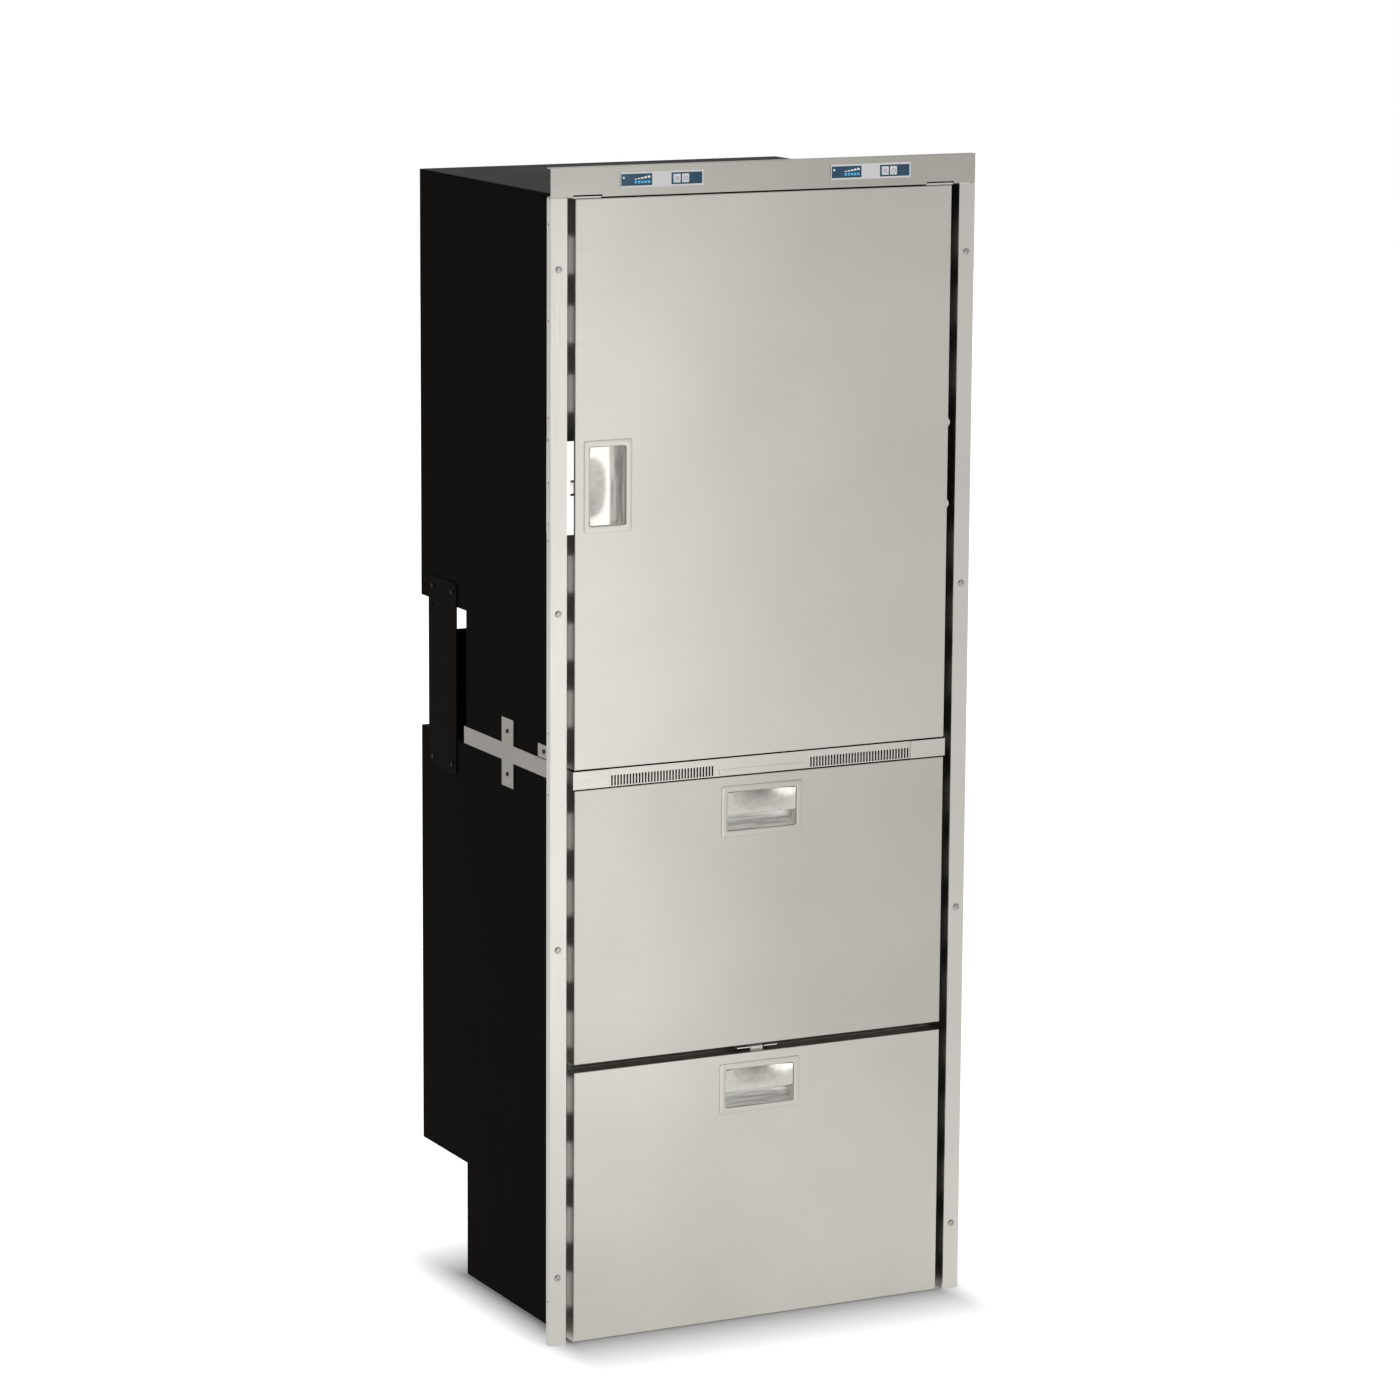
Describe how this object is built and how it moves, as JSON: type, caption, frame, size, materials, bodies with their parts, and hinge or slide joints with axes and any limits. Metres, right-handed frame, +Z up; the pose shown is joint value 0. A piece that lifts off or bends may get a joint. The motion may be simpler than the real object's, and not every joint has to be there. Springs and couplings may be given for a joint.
{
  "type": "built-in refrigerator with a door and drawers",
  "caption": "Tall built-in refrigerator: a hinged upper door over drawer compartments, dished recessed latches, a screwed front flange and a rear machine recess.",
  "frame": {"origin": "bottom centre of the unit's bounding box", "axes": "+Z up, +Y from the front to the back, +X to the user's right"},
  "size_m": [0.64, 0.5168, 1.61],
  "materials": {
    "stainless": "brushed, light grey",
    "polished_steel": "polished, dished",
    "grey_steel": "dull grey sheet",
    "black_paint": "satin black",
    "zinc": "zinc plated",
    "white_liner": "smooth, white",
    "white_panel": "white inner panel over foam",
    "foam": "rigid foam",
    "seal": "soft grey seal",
    "nylon": "white nylon",
    "display": "dark blue, shiny",
    "key_plastic": "light key",
    "white_wire": "coated wire",
    "clear_bin": "pale plastic",
    "pump_paint": "gloss black",
    "black_plastic": "black plastic",
    "bare_aluminium": "plain sheet"
  },
  "bodies": {
    "cabinet": {"upper_casing": "black_paint", "lower_casing": "black_paint", "upper_insulation": "foam", "lower_insulation": "foam", "upper_liner": "white_liner", "drawer_1_liner": "white_liner", "drawer_2_liner": "white_liner", "top_rail": "stainless", "left_upright": "stainless", "right_upright": "stainless", "flange_screws": "stainless", "vent_strip": "stainless", "vent_grille": "stainless", "control_panels": "stainless", "control_modules": "display", "rail_carrier": "grey_steel", "top_hinge": "zinc", "bottom_hinge": "zinc", "hinge_blank": "zinc", "latch_strikes": "polished_steel", "spacer_channels": "grey_steel", "side_brackets": "black_paint", "bracket_screws": "zinc", "machine_guard": "black_paint", "compressors": "pump_paint", "condenser": "bare_aluminium", "evaporators": "bare_aluminium", "shelves": "white_wire", "fixed_slides": "zinc"},
    "door": {"door_skin": "stainless", "door_core": "white_panel", "door_gasket": "seal", "door_bins": "clear_bin", "door_plugs": "nylon", "door_latch_housing": "stainless"},
    "door_paddle": {"door_latch_paddle": "polished_steel"},
    "door_bolt": {"door_latch_bolt": "zinc"},
    "drawer_1": {"drawer_1_skin": "stainless", "drawer_1_core": "white_panel", "drawer_1_gasket": "seal", "drawer_1_basket": "white_panel", "drawer_1_inner_slides": "zinc", "drawer_1_latch_housing": "stainless"},
    "drawer_1_rails": {"drawer_1_middle_slides": "zinc"},
    "drawer_1_paddle": {"drawer_1_latch_paddle": "polished_steel"},
    "drawer_1_bolt": {"drawer_1_latch_bolt": "zinc"},
    "drawer_2": {"drawer_2_skin": "stainless", "drawer_2_core": "white_panel", "drawer_2_gasket": "seal", "drawer_2_basket": "white_panel", "drawer_2_inner_slides": "zinc", "drawer_2_latch_housing": "stainless"},
    "drawer_2_rails": {"drawer_2_middle_slides": "zinc"},
    "drawer_2_paddle": {"drawer_2_latch_paddle": "polished_steel"},
    "drawer_2_bolt": {"drawer_2_latch_bolt": "zinc"},
    "left_key_1_body": {"left_key_1": "key_plastic"},
    "left_key_2_body": {"left_key_2": "key_plastic"},
    "right_key_1_body": {"right_key_1": "key_plastic"},
    "right_key_2_body": {"right_key_2": "key_plastic"},
    "fan_wheel": {"condenser_fan": "black_plastic"}
  },
  "joints": [
    {"name": "door_hinge", "type": "hinge", "parent": "cabinet", "child": "door", "pos_m": [0.269, -0.2386, 1.1845], "axis": [0, 0, 1], "range_deg": [0, 105]},
    {"name": "door_paddle_pivot", "type": "hinge", "parent": "door", "child": "door_paddle", "pos_m": [-0.2586, -0.2501, 1.1845], "axis": [0, 0, -1], "range_deg": [0, 25], "stiffness_Nm_per_rad": 0.3, "springref_deg": -5.73},
    {"name": "door_bolt_slide", "type": "slide", "parent": "door", "child": "door_bolt", "axis": [1, 0, 0], "range_m": [0, 0.005]},
    {"name": "drawer_1_slide", "type": "slide", "parent": "cabinet", "child": "drawer_1", "axis": [0, -1, 0], "range_m": [0, 0.33]},
    {"name": "drawer_1_rail_slide", "type": "slide", "parent": "cabinet", "child": "drawer_1_rails", "axis": [0, -1, 0], "range_m": [0, 0.165]},
    {"name": "drawer_1_paddle_pivot", "type": "hinge", "parent": "drawer_1", "child": "drawer_1_paddle", "pos_m": [0, -0.2501, 0.7476], "axis": [-1, 0, 0], "range_deg": [0, 25], "stiffness_Nm_per_rad": 0.3, "springref_deg": -5.73},
    {"name": "drawer_1_bolt_slide", "type": "slide", "parent": "drawer_1", "child": "drawer_1_bolt", "axis": [0, 0, -1], "range_m": [0, 0.005]},
    {"name": "drawer_2_slide", "type": "slide", "parent": "cabinet", "child": "drawer_2", "axis": [0, -1, 0], "range_m": [0, 0.33]},
    {"name": "drawer_2_rail_slide", "type": "slide", "parent": "cabinet", "child": "drawer_2_rails", "axis": [0, -1, 0], "range_m": [0, 0.165]},
    {"name": "drawer_2_paddle_pivot", "type": "hinge", "parent": "drawer_2", "child": "drawer_2_paddle", "pos_m": [0, -0.2501, 0.3566], "axis": [-1, 0, 0], "range_deg": [0, 25], "stiffness_Nm_per_rad": 0.3, "springref_deg": -5.73},
    {"name": "drawer_2_bolt_slide", "type": "slide", "parent": "drawer_2", "child": "drawer_2_bolt", "axis": [0, 0, -1], "range_m": [0, 0.005]},
    {"name": "left_key_1_press", "type": "slide", "parent": "cabinet", "child": "left_key_1_body", "axis": [0, 1, 0], "range_m": [0, 0.0008], "stiffness_N_per_m": 250, "springref_m": -0.0005},
    {"name": "left_key_2_press", "type": "slide", "parent": "cabinet", "child": "left_key_2_body", "axis": [0, 1, 0], "range_m": [0, 0.0008], "stiffness_N_per_m": 250, "springref_m": -0.0005},
    {"name": "right_key_1_press", "type": "slide", "parent": "cabinet", "child": "right_key_1_body", "axis": [0, 1, 0], "range_m": [0, 0.0008], "stiffness_N_per_m": 250, "springref_m": -0.0005},
    {"name": "right_key_2_press", "type": "slide", "parent": "cabinet", "child": "right_key_2_body", "axis": [0, 1, 0], "range_m": [0, 0.0008], "stiffness_N_per_m": 250, "springref_m": -0.0005},
    {"name": "fan_spin", "type": "hinge", "parent": "cabinet", "child": "fan_wheel", "pos_m": [0, 0.1504, 0.8485], "axis": [0, 1, 0], "continuous": true}
  ],
  "couplings": [
    {"joint": "door_bolt_slide", "follows": "door_paddle_pivot", "m_per_rad": 0.01145},
    {"joint": "drawer_1_rail_slide", "follows": "drawer_1_slide", "ratio": 0.5},
    {"joint": "drawer_1_bolt_slide", "follows": "drawer_1_paddle_pivot", "m_per_rad": 0.01145},
    {"joint": "drawer_2_rail_slide", "follows": "drawer_2_slide", "ratio": 0.5},
    {"joint": "drawer_2_bolt_slide", "follows": "drawer_2_paddle_pivot", "m_per_rad": 0.01145}
  ]
}
